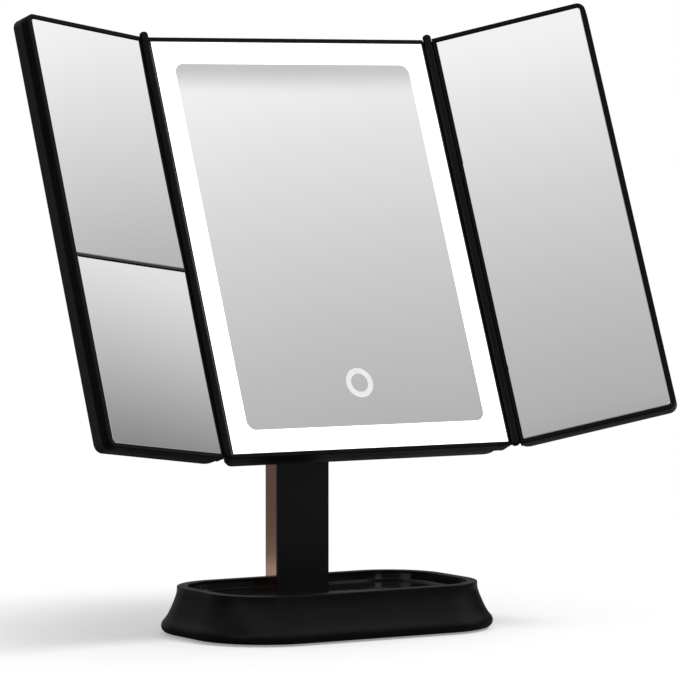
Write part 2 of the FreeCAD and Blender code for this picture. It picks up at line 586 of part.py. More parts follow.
def build_tilt_bracket():
    body = new_body("tilt_bracket")
    plate = add_sketch(body, "plate", "XZ_Plane", "- head_depth")
    draw_rectangle(plate, "bracket_plate_width", "bracket_plate_height", "bracket_corner", "0", "pivot_up")
    feature(body, "Pad", "plate_pad", plate, "bracket_plate_thick", True)
    rear = size("head_depth") + size("bracket_plate_thick")
    round_edges(body, "plate_round", "bracket_edge", lambda edge: level(edge, 1, rear))
    for side, name in ((-1, "left"), (1, "right")):
        start = "hinge_half_width" if side > 0 else "- hinge_half_width - ear_thick"
        arm = add_sketch(body, name + "_arm", "YZ_Plane", start)
        draw_rectangle(arm, "pivot_back - head_depth", "ear_diameter", None, "( pivot_back + head_depth ) / 2",
                       "pivot_up")
        feature(body, "Pad", name + "_arm_pad", arm, "ear_thick")
        ear = add_sketch(body, name + "_ear", "YZ_Plane", start)
        draw_circle(ear, "ear_diameter", "pivot_back", "pivot_up")
        feature(body, "Pad", name + "_ear_pad", ear, "ear_thick")
    bore = add_sketch(body, "bore", "YZ_Plane")
    draw_circle(bore, "pivot_pin_diameter", "pivot_back", "pivot_up")
    feature(body, "Pocket", "bore_cut", bore, "bracket_plate_width", False, True)
    holes = add_sketch(body, "screw_holes", "XZ_Plane")
    for across, up in bracket_screw_spots:
        draw_circle(holes, "screw_diameter + 2 * fit_gap", across, up)
    feature(body, "Pocket", "screw_hole_cut", holes, "2 * head_depth")
    finish(body, "tilt_bracket", head_place)
    spots = [(across, "0", up) for across, up in bracket_screw_spots]
    screws("bracket_screws", spots, "head_depth + bracket_plate_thick", "y", -1,
           "bracket_plate_thick + cover_wall + bracket_pad - fit_gap", head_place)
    reach = "hinge_half_width + ear_thick"
    shank_start = ("- ( " + reach + " )", "pivot_back", "pivot_up")
    shank = rod("tilt_shank", "pivot_pin_diameter", "2 * ( " + reach + " )", shank_start, "x")
    heads = []
    for side, name in ((-1, "left"), (1, "right")):
        start = reach if side > 0 else "- ( " + reach + " ) - pin_head_thick"
        head_start = (start, "pivot_back", "pivot_up")
        heads.append(rod("tilt_%s_head" % name, "pin_head_diameter", "pin_head_thick", head_start, "x"))
    finish(fuse("tilt_pin_whole", [shank] + heads), "tilt_pin", head_place)
    washers = []
    for side, name in ((-1, "left"), (1, "right")):
        start = "knuckle_width / 2 + running_gap" if side > 0 else "- hinge_half_width"
        disc = rod("washer_%s_disc" % name, "washer_diameter", "washer_thick - running_gap",
                   (start, "pivot_back", "pivot_up"), "x")
        hole = rod("washer_%s_hole" % name, "pivot_pin_diameter + 2 * running_gap", "washer_thick + overrun",
                   (start + " - overrun / 2", "pivot_back", "pivot_up"), "x")
        washers.append(cut("washer_" + name, disc, hole))
    finish(group("washers", washers), "tilt_washers", head_place)


# Frame of the middle panel with the fixed knuckles of both wing hinges. The back cover seats on a lip
# round its rear opening, and thin strips behind the barrels keep light from showing through the hinges.
def build_centre_frame():
    body = new_body("centre_frame")
    outline = add_sketch(body, "outline", "XZ_Plane")
    draw_rectangle(outline, "frame_width", "frame_height", "frame_corner")
    feature(body, "Pad", "frame_pad", outline, "frame_depth", True)
    round_edges(body, "front_round", "frame_edge", lambda edge: level(edge, 1, 0))
    opening = add_sketch(body, "opening", "XZ_Plane", "overrun")
    draw_rectangle(opening, "lit_width", "lit_height")
    feature(body, "Pocket", "opening_cut", opening, "frame_depth - rear_lip + overrun")
    rear = add_sketch(body, "rear_opening", "XZ_Plane", "overrun")
    draw_rectangle(rear, "cover_width - 2 * cover_wall", "cover_height - 4 * cover_wall", "cover_corner")
    feature(body, "Pocket", "rear_opening_cut", rear, "frame_depth + 2 * overrun")
    bores = []
    for side, side_name in ((-1, "left"), (1, "right")):
        for end, end_name in ((-1, "lower"), (1, "upper")):
            name = "%s_%s" % (side_name, end_name)
            across = "%d * axis_x" % side
            foot = "knuckle_high - end_knuckle" if end > 0 else "knuckle_low"
            web_middle = "knuckle_high - end_knuckle + knuckle_web / 2" if end > 0 else (
                "knuckle_low + end_knuckle - knuckle_web / 2")
            web = add_sketch(body, name + "_web", "XZ_Plane", "- frame_edge")
            draw_rectangle(web, "hinge_gap - side_lip", "knuckle_web", None,
                           "%d * ( frame_width / 2 + ( hinge_gap - side_lip ) / 2 - fit_gap )" % side,
                           web_middle)
            feature(body, "Pad", name + "_web_pad", web, "hinge_web", True)
            knuckle = add_sketch(body, name + "_knuckle", "XY_Plane", foot)
            draw_circle(knuckle, "barrel_diameter", across, "- hinge_lead")
            feature(body, "Pad", name + "_knuckle_pad", knuckle, "end_knuckle")
            bores.append(across)
    for side, side_name in ((-1, "left"), (1, "right")):
        strip = add_sketch(body, side_name + "_strip", "XZ_Plane", "- strip_front")
        draw_rectangle(strip, "axis_x - strip_seam - frame_width / 2 + fit_gap", "strip_height", None,
                       "%d * ( axis_x - strip_seam + frame_width / 2 - fit_gap ) / 2" % side)
        feature(body, "Pad", side_name + "_strip_pad", strip, "strip_thick", True)
    ends = (size("knuckle_high"), size("knuckle_low"))
    round_edges(body, "knuckle_domes", "knuckle_dome", lambda edge: any(level(edge, 2, end) for end in ends))
    holes = add_sketch(body, "pin_bores", "XY_Plane", "pin_low - running_gap")
    for across in (bores[0], bores[-1]):
        draw_circle(holes, "hinge_pin_diameter", across, "- hinge_lead")
    feature(body, "Pocket", "pin_bore_cut", holes, "pin_length + 2 * running_gap", True)
    finish(body, "centre_frame", head_place)


# Rounded shell behind the middle panel
def build_centre_cover():
    body = new_body("centre_back_cover")
    outline = add_sketch(body, "outline", "XZ_Plane", "- frame_depth")
    draw_rectangle(outline, "cover_width", "cover_height")
    feature(body, "Pad", "shell_pad", outline, "head_depth - frame_depth", True)

    def upright_back(edge):
        return level(edge, 1, size("head_depth")) and edge.BoundBox.ZLength > size("fit_gap")

    def flat_back(edge):
        return level(edge, 1, size("head_depth")) and not upright_back(edge)

    round_edges(body, "side_round", "cover_side_round", upright_back)
    round_edges(body, "back_round", "cover_round", flat_back)
    inside = add_sketch(body, "inside", "XZ_Plane", "- frame_depth")
    draw_rectangle(inside, "cover_width - 2 * cover_wall", "cover_height - 4 * cover_wall", "cover_corner")
    feature(body, "Pocket", "inside_cut", inside, "head_depth - frame_depth - cover_wall")
    pad = add_sketch(body, "bracket_pad", "XZ_Plane", "- carrier_back")
    draw_rectangle(pad, "bracket_plate_width", "bracket_plate_height", "bracket_corner", "0", "pivot_up")
    feature(body, "Pad", "bracket_pad_pad", pad, "bracket_pad")
    bores = add_sketch(body, "bracket_bores", "XZ_Plane", "- head_depth")
    for across, up in bracket_screw_spots:
        draw_circle(bores, "screw_diameter", across, up)
    feature(body, "Pocket", "bracket_bore_cut", bores, "cover_wall + bracket_pad", True)
    heads = add_sketch(body, "screw_seats", "XZ_Plane", "- head_depth")
    holes = add_sketch(body, "screw_holes", "XZ_Plane", "- head_depth")
    for across, up in cover_screw_spots:
        draw_circle(heads, "screw_head_diameter + 2 * fit_gap", across, up)
        draw_circle(holes, "screw_diameter + 2 * fit_gap", across, up)
    feature(body, "Pocket", "screw_seat_cut", heads, "screw_head_thick", True)
    feature(body, "Pocket", "screw_hole_cut", holes, "2 * cover_wall", True)
    finish(body, "centre_back_cover", head_place)
    spots = [(across, "0", up) for across, up in cover_screw_spots]
    screws("cover_screws", spots, "head_depth - screw_head_thick", "y", -1, "screw_length", head_place)


# Lit border, mirror glass, touch ring and what lies behind them
def build_centre_panel():
    body = new_body("light_diffuser")
    outline = add_sketch(body, "outline", "XZ_Plane", "- glass_recess")
    draw_rectangle(outline, "lit_width - 2 * fit_gap", "lit_height - 2 * fit_gap")
    feature(body, "Pad", "border_pad", outline, "glass_thick", True)
    window = add_sketch(body, "window", "XZ_Plane", "overrun")
    draw_rectangle(window, "glass_width + 2 * fit_gap", "glass_height + 2 * fit_gap",
                   "mirror_corner + fit_gap")
    feature(body, "Pocket", "window_cut", window, "glass_thick + 2 * overrun")
    finish(body, "light_diffuser", head_place)
    glass = new_body("centre_mirror")
    pane = add_sketch(glass, "pane", "XZ_Plane", "- glass_recess")
    draw_rectangle(pane, "glass_width", "glass_height", "mirror_corner")
    feature(glass, "Pad", "pane_pad", pane, "glass_thick", True)
    groove = add_sketch(glass, "ring_groove", "XZ_Plane", "- glass_recess")
    draw_circle(groove, "ring_outer", "0", "- ring_drop")
    draw_circle(groove, "ring_inner", "0", "- ring_drop")
    feature(glass, "Pocket", "ring_groove_cut", groove, "ring_depth")
    finish(glass, "centre_mirror", head_place)
    ring = new_body("touch_ring")
    track = add_sketch(ring, "track", "XZ_Plane", "- glass_recess")
    draw_circle(track, "ring_outer - fit_gap", "0", "- ring_drop")
    draw_circle(track, "ring_inner + fit_gap", "0", "- ring_drop")
    feature(ring, "Pad", "track_pad", track, "ring_depth", True)
    finish(ring, "touch_ring", head_place)
    sensor = rod("sensor_disc", "sensor_diameter", "sensor_thick", ("0", "glass_back", "- ring_drop"), "y")
    finish(group("sensor", [sensor]), "touch_sensor", head_place)
    carrier = new_body("mirror_carrier")
    back = add_sketch(carrier, "back", "XZ_Plane", "- carrier_back")
    draw_rectangle(back, "lit_width - 2 * carrier_inset", "lit_height - 2 * carrier_inset", "cover_corner")
    feature(carrier, "Pad", "back_pad", back, "carrier_thick")
    core = add_sketch(carrier, "core", "XZ_Plane", "- carrier_back + carrier_thick")
    draw_rectangle(core, "glass_width - 2 * mirror_corner", "glass_height - 2 * mirror_corner",
                   "mirror_corner")
    feature(carrier, "Pad", "core_pad", core, "carrier_back - carrier_thick - glass_back")
    hollow = add_sketch(carrier, "hollow", "XZ_Plane", "- carrier_back")
    draw_rectangle(hollow, "glass_width - 4 * mirror_corner", "glass_height - 4 * mirror_corner",
                   "mirror_corner")
    feature(carrier, "Pocket", "hollow_cut", hollow, "carrier_back - carrier_thick - glass_back", True)
    bores = add_sketch(carrier, "screw_bores", "XZ_Plane", "- carrier_back")
    for across, up in cover_screw_spots:
        draw_circle(bores, "screw_diameter", across, up)
    feature(carrier, "Pocket", "screw_bore_cut", bores, "screw_length", True)
    window = add_sketch(carrier, "sensor_window", "XZ_Plane", "overrun")
    draw_circle(window, "sensor_diameter + 2 * fit_gap", "0", "- ring_drop")
    feature(carrier, "Pocket", "sensor_window_cut", window, "carrier_back + 2 * overrun")
    finish(carrier, "mirror_carrier", head_place)
    strips = []
    chips = []
    face = "carrier_back - carrier_thick - board_thick"
    spans = (("lit_width - 2 * carrier_inset", "lit_height / 2 - lit_border_end / 2", leds_along_end, True),
             ("lit_height - 4 * carrier_inset", "lit_width / 2 - lit_border_side / 2", leds_along_side, False))
    for length, middle, count, level_strip in spans:
        for side, name in ((-1, "low"), (1, "high")):
            near = "%d * ( %s )" % (side, middle)
            tag = "%s_%s" % ("end" if level_strip else "side", name)
            run = "- ( %s ) / 2" % length
            if level_strip:
                strips.append(box("strip_" + tag, (length, "board_thick", "board_height"),
                                  (run, face, near + " - board_height / 2")))
            else:
                strips.append(box("strip_" + tag, ("board_height", "board_thick", length),
                                  (near + " - board_height / 2", face, run)))
            for place in range(count):
                along = "( %s ) * %s - led_size / 2" % (length, (place + 0.5) / count - 0.5)
                across = near + " - led_size / 2"
                spot = [along, face + " - led_height", across]
                if not level_strip:
                    spot.reverse()
                chips.append(box("chip_%s_%d" % (tag, place), ("led_size", "led_height", "led_size"), spot))
    finish(group("strips", strips), "led_boards", head_place)
    finish(group("chips", chips), "led_chips", head_place)
    board = box("control", ("control_width", "board_thick", "control_height"),
                ("- control_width / 2", "carrier_back - board_thick", "- control_lift - control_height / 2"))
    finish(group("control_group", [board]), "control_board", head_place)


# One wing: frame with a long hinge barrel, rounded shell and hinge pin, drawn from the hinge axis outwards.
def build_wing(side, name, place):
    hand = name.split("_")[0]

    def outer(edge):
        return side * edge.CenterOfMass.x > size("wing_middle") and edge.BoundBox.YLength > size("fit_gap")

    def hinge_side_back(edge):
        near_hinge = side * edge.CenterOfMass.x < size("wing_middle")
        return near_hinge and level(edge, 1, size("wing_depth")) and edge.BoundBox.ZLength > size("fit_gap")

    body = new_body(name + "_frame")
    outline = add_sketch(body, name + "_outline", "XZ_Plane")
    draw_rectangle(outline, "wing_width", "frame_height", None, "%d * wing_middle" % side)
    feature(body, "Pad", name + "_frame_pad", outline, "wing_frame_depth", True)
    round_edges(body, name + "_corner_round", "wing_corner", outer)
    round_edges(body, name + "_front_round", "frame_edge", lambda edge: level(edge, 1, 0))
    opening = add_sketch(body, name + "_opening", "XZ_Plane", "overrun")
    draw_rectangle(opening, hand + "_glass_width", "wing_glass_height", None,
                   "%d * %s_glass_middle" % (side, hand))
    feature(body, "Pocket", name + "_opening_cut", opening, "wing_frame_depth + 2 * overrun")
    web = add_sketch(body, name + "_web", "XZ_Plane", "- frame_edge")
    draw_rectangle(web, "wing_start + fit_gap", "barrel_length", None,
                   "%d * ( wing_start + fit_gap ) / 2" % side, "barrel_middle")
    feature(body, "Pad", name + "_web_pad", web, "hinge_web", True)
    strip = add_sketch(body, name + "_strip", "XZ_Plane", "- strip_front")
    draw_rectangle(strip, "wing_start + fit_gap - strip_seam", "strip_height", None,
                   "%d * ( wing_start + fit_gap + strip_seam ) / 2" % side)
    feature(body, "Pad", name + "_strip_pad", strip, "strip_thick", True)
    barrel = add_sketch(body, name + "_barrel", "XY_Plane", "barrel_low")
    draw_circle(barrel, "barrel_diameter", "0", "- hinge_lead")
    feature(body, "Pad", name + "_barrel_pad", barrel, "barrel_length")
    bore = add_sketch(body, name + "_bore", "XY_Plane", "barrel_low - overrun")
    draw_circle(bore, "hinge_pin_diameter + 2 * running_gap", "0", "- hinge_lead")
    feature(body, "Pocket", name + "_bore_cut", bore, "barrel_length + 2 * overrun", True)
    finish(body, name + "_frame", place)
    cover = new_body(name + "_back_cover")
    shell = add_sketch(cover, name + "_shell", "XZ_Plane", "- wing_frame_depth")
    draw_rectangle(shell, "wing_width", "frame_height", None, "%d * wing_middle" % side)
    feature(cover, "Pad", name + "_shell_pad", shell, "wing_depth - wing_frame_depth", True)
    round_edges(cover, name + "_hinge_side_round", "wing_side_round", hinge_side_back)
    round_edges(cover, name + "_shell_corner", "wing_corner", outer)
    round_edges(cover, name + "_shell_round", "wing_round", lambda edge: level(edge, 1, size("wing_depth")))
    inside = add_sketch(cover, name + "_inside", "XZ_Plane", "- wing_frame_depth")
    draw_rectangle(inside, "wing_width - 4 * wing_wall", "frame_height - 4 * wing_wall", None,
                   "%d * wing_middle" % side)
    feature(cover, "Pocket", name + "_inside_cut", inside, "wing_depth - wing_frame_depth - wing_wall")
    finish(cover, name + "_back_cover", place)
    pin = rod(name + "_pin", "hinge_pin_diameter", "pin_length", ("0", "- hinge_lead", "pin_low"))
    finish(group(name + "_pin_group", [pin]), name + "_hinge_pin", place)


# Flat pane of the right wing
def flat_pane(label, place, start, thick):
    body = new_body(label)
    pane = add_sketch(body, label + "_pane", "XZ_Plane", "- ( " + start + " )")
    draw_rectangle(pane, "right_glass_width - 2 * fit_gap", "wing_glass_height - 2 * fit_gap", None,
                   "right_glass_middle")
    feature(body, "Pad", label + "_pad", pane, thick, True)
    finish(body, label, place)


# A magnifying glass is a piece of a ball-shaped shell, its corners just behind the frame's front.
def dished_pane(which, place):
    label = "left_%s_mirror" % which
    radius = which + "_glass_radius"
    middle = ("- left_glass_middle", "wing_glass_recess - %s_reach" % which, which + "_middle")
    blank = box(label + "_blank", ("2 * pane_half_width", "2 * wing_depth", "2 * %s_half_height" % which),
                ("- left_glass_middle - pane_half_width", "- wing_depth / 2", which + "_low + fit_gap"))
    outer = ball(label + "_outer", radius + " + wing_glass_thick", middle)
    inner = ball(label + "_inner", radius, middle)
    pane = cut(label + "_pane", common(label + "_shell", blank, outer), inner)
    finish(group(label + "_group", [pane]), label, place)


# Bar between the two magnifying glasses of the left wing
def build_divider(place):
    bar = box("divider", ("left_glass_width", "divider_depth", "divider_thick - 2 * fit_gap"),
              ("- left_glass_start - left_glass_width", "0", "lower_high + fit_gap"))
    finish(group("divider_group", [bar]), "left_mirror_divider", place)


hinge_side = {}
for side, name in ((-1, "left_wing"), (1, "right_wing")):
    axis = FreeCAD.Placement(FreeCAD.Vector(side * size("axis_x"), 0, 0), FreeCAD.Rotation())
    hinge_point = FreeCAD.Placement(FreeCAD.Vector(0, -size("hinge_lead"), 0), FreeCAD.Rotation())
    fold = FreeCAD.Rotation(FreeCAD.Vector(0, 0, 1), -side * size(name.split("_")[0] + "_fold_angle"))
    turned = hinge_point.multiply(FreeCAD.Placement(FreeCAD.Vector(), fold)).multiply(hinge_point.inverse())
    hinge_side[name] = head_place.multiply(axis).multiply(turned)

build_base_shell()
build_tray()
build_bottom_plate()
build_base_pieces()
build_column()
build_tilt_hinge()
build_tilt_bracket()
build_centre_frame()
build_centre_cover()
build_centre_panel()
for side, name in ((-1, "left_wing"), (1, "right_wing")):
    build_wing(side, name, hinge_side[name])
for which in ("upper", "lower"):
    dished_pane(which, hinge_side["left_wing"])
build_divider(hinge_side["left_wing"])
flat_pane("right_mirror", hinge_side["right_wing"], "wing_glass_recess", "wing_glass_thick")
flat_pane("right_mirror_backing", hinge_side["right_wing"], "wing_glass_recess + wing_glass_thick",
          "backing_thick")
doc.recompute()

# Check every object, then write each piece
faults = [thing.Name for thing in doc.Objects if "Invalid" in thing.State or "Error" in thing.State]
for label, thing in finished.items():
    if thing.Shape.isNull() or not thing.Shape.isValid():
        faults.append(label)
if faults:
    raise RuntimeError("failed pieces: " + ", ".join(faults))
os.makedirs("parts", exist_ok=True)
for label, thing in sorted(finished.items()):
    thing.Shape.exportStep("parts/%s.step" % label)
    bounds = thing.Shape.BoundBox
    print("%-22s solids %2d volume %10.1f size %.1f %.1f %.1f" % (
        label, len(thing.Shape.Solids), thing.Shape.Volume, bounds.XLength, bounds.YLength, bounds.ZLength))
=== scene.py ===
import bpy
import json
import math
from mathutils import Matrix, Vector


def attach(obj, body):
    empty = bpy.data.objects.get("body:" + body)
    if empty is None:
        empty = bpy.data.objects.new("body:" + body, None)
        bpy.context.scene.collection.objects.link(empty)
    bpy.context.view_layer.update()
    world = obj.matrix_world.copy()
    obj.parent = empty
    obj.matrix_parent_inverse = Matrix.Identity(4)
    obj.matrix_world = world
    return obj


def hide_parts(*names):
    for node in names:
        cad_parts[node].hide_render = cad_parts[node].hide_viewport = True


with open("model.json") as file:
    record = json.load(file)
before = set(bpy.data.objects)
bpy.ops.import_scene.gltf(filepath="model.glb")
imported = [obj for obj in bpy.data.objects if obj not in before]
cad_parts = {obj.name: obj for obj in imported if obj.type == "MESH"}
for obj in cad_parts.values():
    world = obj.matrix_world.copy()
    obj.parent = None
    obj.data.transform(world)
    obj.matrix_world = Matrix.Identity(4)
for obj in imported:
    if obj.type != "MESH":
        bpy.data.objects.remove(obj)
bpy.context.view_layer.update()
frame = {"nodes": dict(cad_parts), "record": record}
nodes = frame["nodes"]
print("frame loaded:", len(nodes), "nodes")

white = (1, 1, 1, 1)
cloudSpan = (0.3, 0.7)  # the stretch of the noise over which a finish changes
mixSockets = {"FLOAT": (2, 3, 0), "RGBA": (6, 7, 2)}  # the Mix node's two inputs and its output


# small helpers for node trees
def newMaterial(name):
    material = bpy.data.materials.new(name)
    material.use_nodes = True
    shader = material.node_tree.nodes["Principled BSDF"]
    return material, material.node_tree, shader


def addNode(tree, kind, **settings):
    node = tree.nodes.new(kind)
    for key, value in settings.items():
        if key in node.inputs:
            node.inputs[key].default_value = value
        else:
            setattr(node, key, value)
    return node


def feed(tree, socket, value):
    if isinstance(value, float):
        socket.default_value = value
    else:
        tree.links.new(value, socket)


def grey(value):
    return (value, value, value)


def ramp(tree, source, spots):
    node = tree.nodes.new("ShaderNodeValToRGB")
    tree.links.new(source, node.inputs["Fac"])
    while len(node.color_ramp.elements) < len(spots):
        node.color_ramp.elements.new(0.5)
    for element, (place, colour) in zip(node.color_ramp.elements, spots):
        element.position = place
        element.color = (*colour, 1)
    return node.outputs["Color"]


def greyRamp(tree, source, spots):
    return ramp(tree, source, [(place, grey(value)) for place, value in spots])


def spread(tree, source, low, high, kind="LINEAR"):
    node = addNode(tree, "ShaderNodeMapRange", interpolation_type=kind)
    tree.links.new(source, node.inputs["Value"])
    node.inputs["From Min"].default_value = low
    node.inputs["From Max"].default_value = high
    return node.outputs["Result"]


def maths(tree, operation, *values):
    node = addNode(tree, "ShaderNodeMath", operation=operation)
    for socket, value in zip(node.inputs, values):
        feed(tree, socket, value)
    return node.outputs["Value"]


def blend(tree, factor, first, second, kind="FLOAT"):
    node = addNode(tree, "ShaderNodeMix", data_type=kind)
    firstInput, secondInput, result = mixSockets[kind]
    tree.links.new(factor, node.inputs["Factor"])
    feed(tree, node.inputs[firstInput], first)
    feed(tree, node.inputs[secondInput], second)
    return node.outputs[result]


def objectNoise(tree, scale, detail):
    place = tree.nodes.new("ShaderNodeTexCoord")
    noise = addNode(tree, "ShaderNodeTexNoise", Scale=scale, Detail=detail)
    tree.links.new(place.outputs["Object"], noise.inputs["Vector"])
    return noise.outputs["Fac"]


# colour and roughness drift a little over the surface
def addClouds(tree, shader, look):
    cloud = objectNoise(tree, look["cloud"], look["detail"])
    tint = ramp(tree, cloud, list(zip(look.get("tintSpan", cloudSpan), look["tints"])))
    tree.links.new(tint, shader.inputs["Base Color"])
    rough = greyRamp(tree, cloud, list(zip(look.get("roughSpan", cloudSpan), look["rough"])))
    tree.links.new(rough, shader.inputs["Roughness"])


# moulded black plastic with a fine grain: column front and underside
satinLook = {"tints": ((0.0035, 0.0035, 0.0037), (0.006, 0.006, 0.0062)), "tintSpan": (0.3, 0.75),
             "rough": (0.38, 0.48), "cloud": 34.0, "detail": 4.0, "shine": 0.40,
             "grain": 5200.0, "grainDetail": 2.0, "grainHeight": 0.00002, "grainStrength": 0.25}

# the base shell has less shine and a coarser grain
baseLook = {**satinLook, "tints": ((0.0020, 0.0020, 0.0021), (0.0034, 0.0034, 0.0035)),
            "rough": (0.34, 0.41), "shine": 0.17, "grain": 4200.0, "grainHeight": 0.00003}

# the three frames
frameLook = {**satinLook, "tints": ((0.003, 0.003, 0.0032), (0.005, 0.005, 0.0052)), "shine": 0.12}

# the back shells and the tilting hinge
coverLook = {**satinLook, "tints": ((0.004, 0.004, 0.0043), (0.006, 0.006, 0.0063)),
             "rough": (0.44, 0.49), "shine": 0.60, "grain": 3600.0, "grainHeight": 0.00004}


def makeSatinBlack(name, look):
    material, tree, shader = newMaterial(name)
    shader.inputs["Specular IOR Level"].default_value = look["shine"]
    addClouds(tree, shader, look)
    grain = objectNoise(tree, look["grain"], look["grainDetail"])
    bump = addNode(tree, "ShaderNodeBump", Strength=look["grainStrength"], Distance=look["grainHeight"])
    tree.links.new(grain, bump.inputs["Height"])
    tree.links.new(bump.outputs["Normal"], shader.inputs["Normal"])
    return material


# polished black plastic: the tray and the bar between the left glasses
glossLook = {"tints": ((0.008, 0.008, 0.009), (0.013, 0.012, 0.013)), "tintSpan": (0.3, 0.8),
             "rough": (0.05, 0.12), "roughSpan": (0.35, 0.8), "cloud": 60.0, "detail": 5.0}


def makeGlossBlack():
    material, tree, shader = newMaterial("glossBlackPlastic")
    addClouds(tree, shader, glossLook)
    return material


# rose-gold plating on the column
platingLook = {"tints": ((0.66, 0.40, 0.30), (0.77, 0.49, 0.37)), "rough": (0.10, 0.17),
               "cloud": 22.0, "detail": 4.0}

# silvered glass
mirrorLook = {"tints": ((0.90, 0.90, 0.905), (0.93, 0.93, 0.935)), "rough": (0.012, 0.03),
              "cloud": 9.0, "detail": 3.0}


def makeMetal(name, look):
    material, tree, shader = newMaterial(name)
    shader.inputs["Metallic"].default_value = 1.0
    addClouds(tree, shader, look)
    return material


# opal border lit from behind
lampLook = {"colour": (0.95, 0.95, 0.95), "glow": ((0.97, 0.965, 0.955), (1.0, 0.995, 0.985)), "power": 1.15,
            "rough": 0.35, "cloud": 45.0, "detail": 2.0}


def makeOpalLight():
    material, tree, shader = newMaterial("opalLitPlastic")
    cloud = objectNoise(tree, lampLook["cloud"], lampLook["detail"])
    glow = ramp(tree, cloud, list(zip(cloudSpan, lampLook["glow"])))
    tree.links.new(glow, shader.inputs["Emission Color"])
    shader.inputs["Base Color"].default_value = (*lampLook["colour"], 1)
    shader.inputs["Emission Strength"].default_value = lampLook["power"]
    shader.inputs["Roughness"].default_value = lampLook["rough"]
    return material


# the etched ring glows a little
ringLook = {"tints": (grey(0.80), grey(0.87)), "rough": (0.4, 0.6), "power": 0.22, "cloud": 260.0, "detail": 3.0}


def makeEtchedRing():
    material, tree, shader = newMaterial("etchedRing")
    addClouds(tree, shader, ringLook)
    shader.inputs["Emission Color"].default_value = white
    shader.inputs["Emission Strength"].default_value = ringLook["power"]
    return material


# inner pieces, fasteners and feet
plainLook = {"cloud": 40.0, "detail": 4.0, "roughDrift": 0.2}
plainFinishes = {
    "white_plastic": {"name": "whitePlastic", "colour": (0.82, 0.82, 0.81), "rough": 0.5, "metallic": 0.0,
                      "drift": 0.08},
    "circuit_board": {"name": "whiteBoard", "colour": (0.72, 0.74, 0.72), "rough": 0.45, "metallic": 0.0,
                      "drift": 0.12},
    "led_white": {"name": "ledPhosphor", "colour": (0.95, 0.88, 0.5), "rough": 0.4, "metallic": 0.0, "drift": 0.1},
    "steel": {"name": "zincSteel", "colour": (0.62, 0.62, 0.63), "rough": 0.28, "metallic": 1.0, "drift": 0.15},
    "cell_jacket": {"name": "cellJacket", "colour": (0.14, 0.15, 0.17), "rough": 0.3, "metallic": 0.3, "drift": 0.2},
    "foot_rubber": {"name": "footRubber", "colour": grey(0.022), "rough": 0.8, "metallic": 0.0, "drift": 0.3},
}


def makePlain(finish):
    material, tree, shader = newMaterial(finish["name"])
    shader.inputs["Metallic"].default_value = finish["metallic"]
    dark = tuple(part * (1 - finish["drift"]) for part in finish["colour"])
    rough = [finish["rough"] * (1 + sign * plainLook["roughDrift"]) for sign in (-1, 1)]
    addClouds(tree, shader, {**plainLook, "tints": (dark, finish["colour"]), "rough": rough})
    return material


finishes = {
    "satin_black": makeSatinBlack("satinBlackPlastic", satinLook),
    "gloss_black": makeGlossBlack(),
    "rose_gold": makeMetal("roseGoldPlating", platingLook),
    "mirror_glass": makeMetal("silveredGlass", mirrorLook),
    "opal_light": makeOpalLight(),
    "frosted_ring": makeEtchedRing(),
}
for slot, finish in plainFinishes.items():
    finishes[slot] = makePlain(finish)
for entry in frame["record"]["subparts"]:
    node = nodes[entry["node"]]
    node.data.materials.clear()
    node.data.materials.append(finishes[entry["material_slot"]])

# black pieces with a moulding finish of their own
ownBlacks = [
    {"name": "baseShellPlastic", "look": baseLook, "nodes": ["base_shell"]},
    {"name": "framePlastic", "look": frameLook, "nodes": ["centre_frame", "left_wing_frame", "right_wing_frame"]},
    {"name": "backCoverPlastic", "look": coverLook,
     "nodes": ["centre_back_cover", "left_wing_back_cover", "right_wing_back_cover", "tilt_bracket",
               "column_knuckle"]},
]
for black in ownBlacks:
    plastic = makeSatinBlack(black["name"], black["look"])
    for name in black["nodes"]:
        nodes[name].data.materials[0] = plastic
print("finishes set on", len(nodes), "nodes")


# the wing glasses have ground edges that catch the light of the lit border
headLook = {"centre": (0.0, -0.0028, 0.1958), "tilt": 22.4}
wingHinge = {"axis": 0.0835, "lead": 0.0004, "leftFold": 19.8, "rightFold": 38.5}
paneLook = {"thick": 0.002, "recess": 0.00025, "columns": 26, "rows": 40, "smoothAngle": 12,
            "corner": 0.0022, "cornerSegments": 6, "near": 0.0002,
            "groundEdge": 0.00055, "edgeSegments": 2, "edgeAngle": 50}
# from and to are the lower inner and upper outer corners, measured from the hinge and the head's centre
paneSizes = [
    {"name": "leftUpperGlass", "node": "left_upper_mirror", "body": "left_wing", "side": -1, "ball": 6.0,
     "from": (0.0027, -0.0130), "to": (0.0806, 0.1088), "rounded": [(-1, 1)]},
    {"name": "leftLowerGlass", "node": "left_lower_mirror", "body": "left_wing", "side": -1, "ball": 5.0,
     "from": (0.0027, -0.1088), "to": (0.0806, -0.0144), "rounded": [(-1, -1)]},
    {"name": "rightGlass", "node": "right_mirror", "body": "right_wing", "side": 1, "ball": None,
     "from": (0.0040, -0.1088), "to": (0.0808, 0.1088), "rounded": [(1, -1), (1, 1)]},
]


def wingPlace(side):
    fold = math.radians(wingHinge["leftFold"] if side < 0 else wingHinge["rightFold"])
    hinge = Matrix.Translation((side * wingHinge["axis"], -wingHinge["lead"], 0))
    turned = hinge @ Matrix.Rotation(-side * fold, 4, "Z") @ Matrix.Translation((0, wingHinge["lead"], 0))
    tilt = Matrix.Rotation(-math.radians(headLook["tilt"]), 4, "X")
    return Matrix.Translation(headLook["centre"]) @ tilt @ turned


# dish the front: the corners stay at the recess, the middle lies deeper
def dishPane(piece, ball, width, height):
    reach = math.sqrt(ball ** 2 - (width / 2) ** 2 - (height / 2) ** 2)
    for vertex in piece.data.vertices:
        vertex.co.z = reach - math.sqrt(ball ** 2 - vertex.co.x ** 2 - vertex.co.y ** 2)


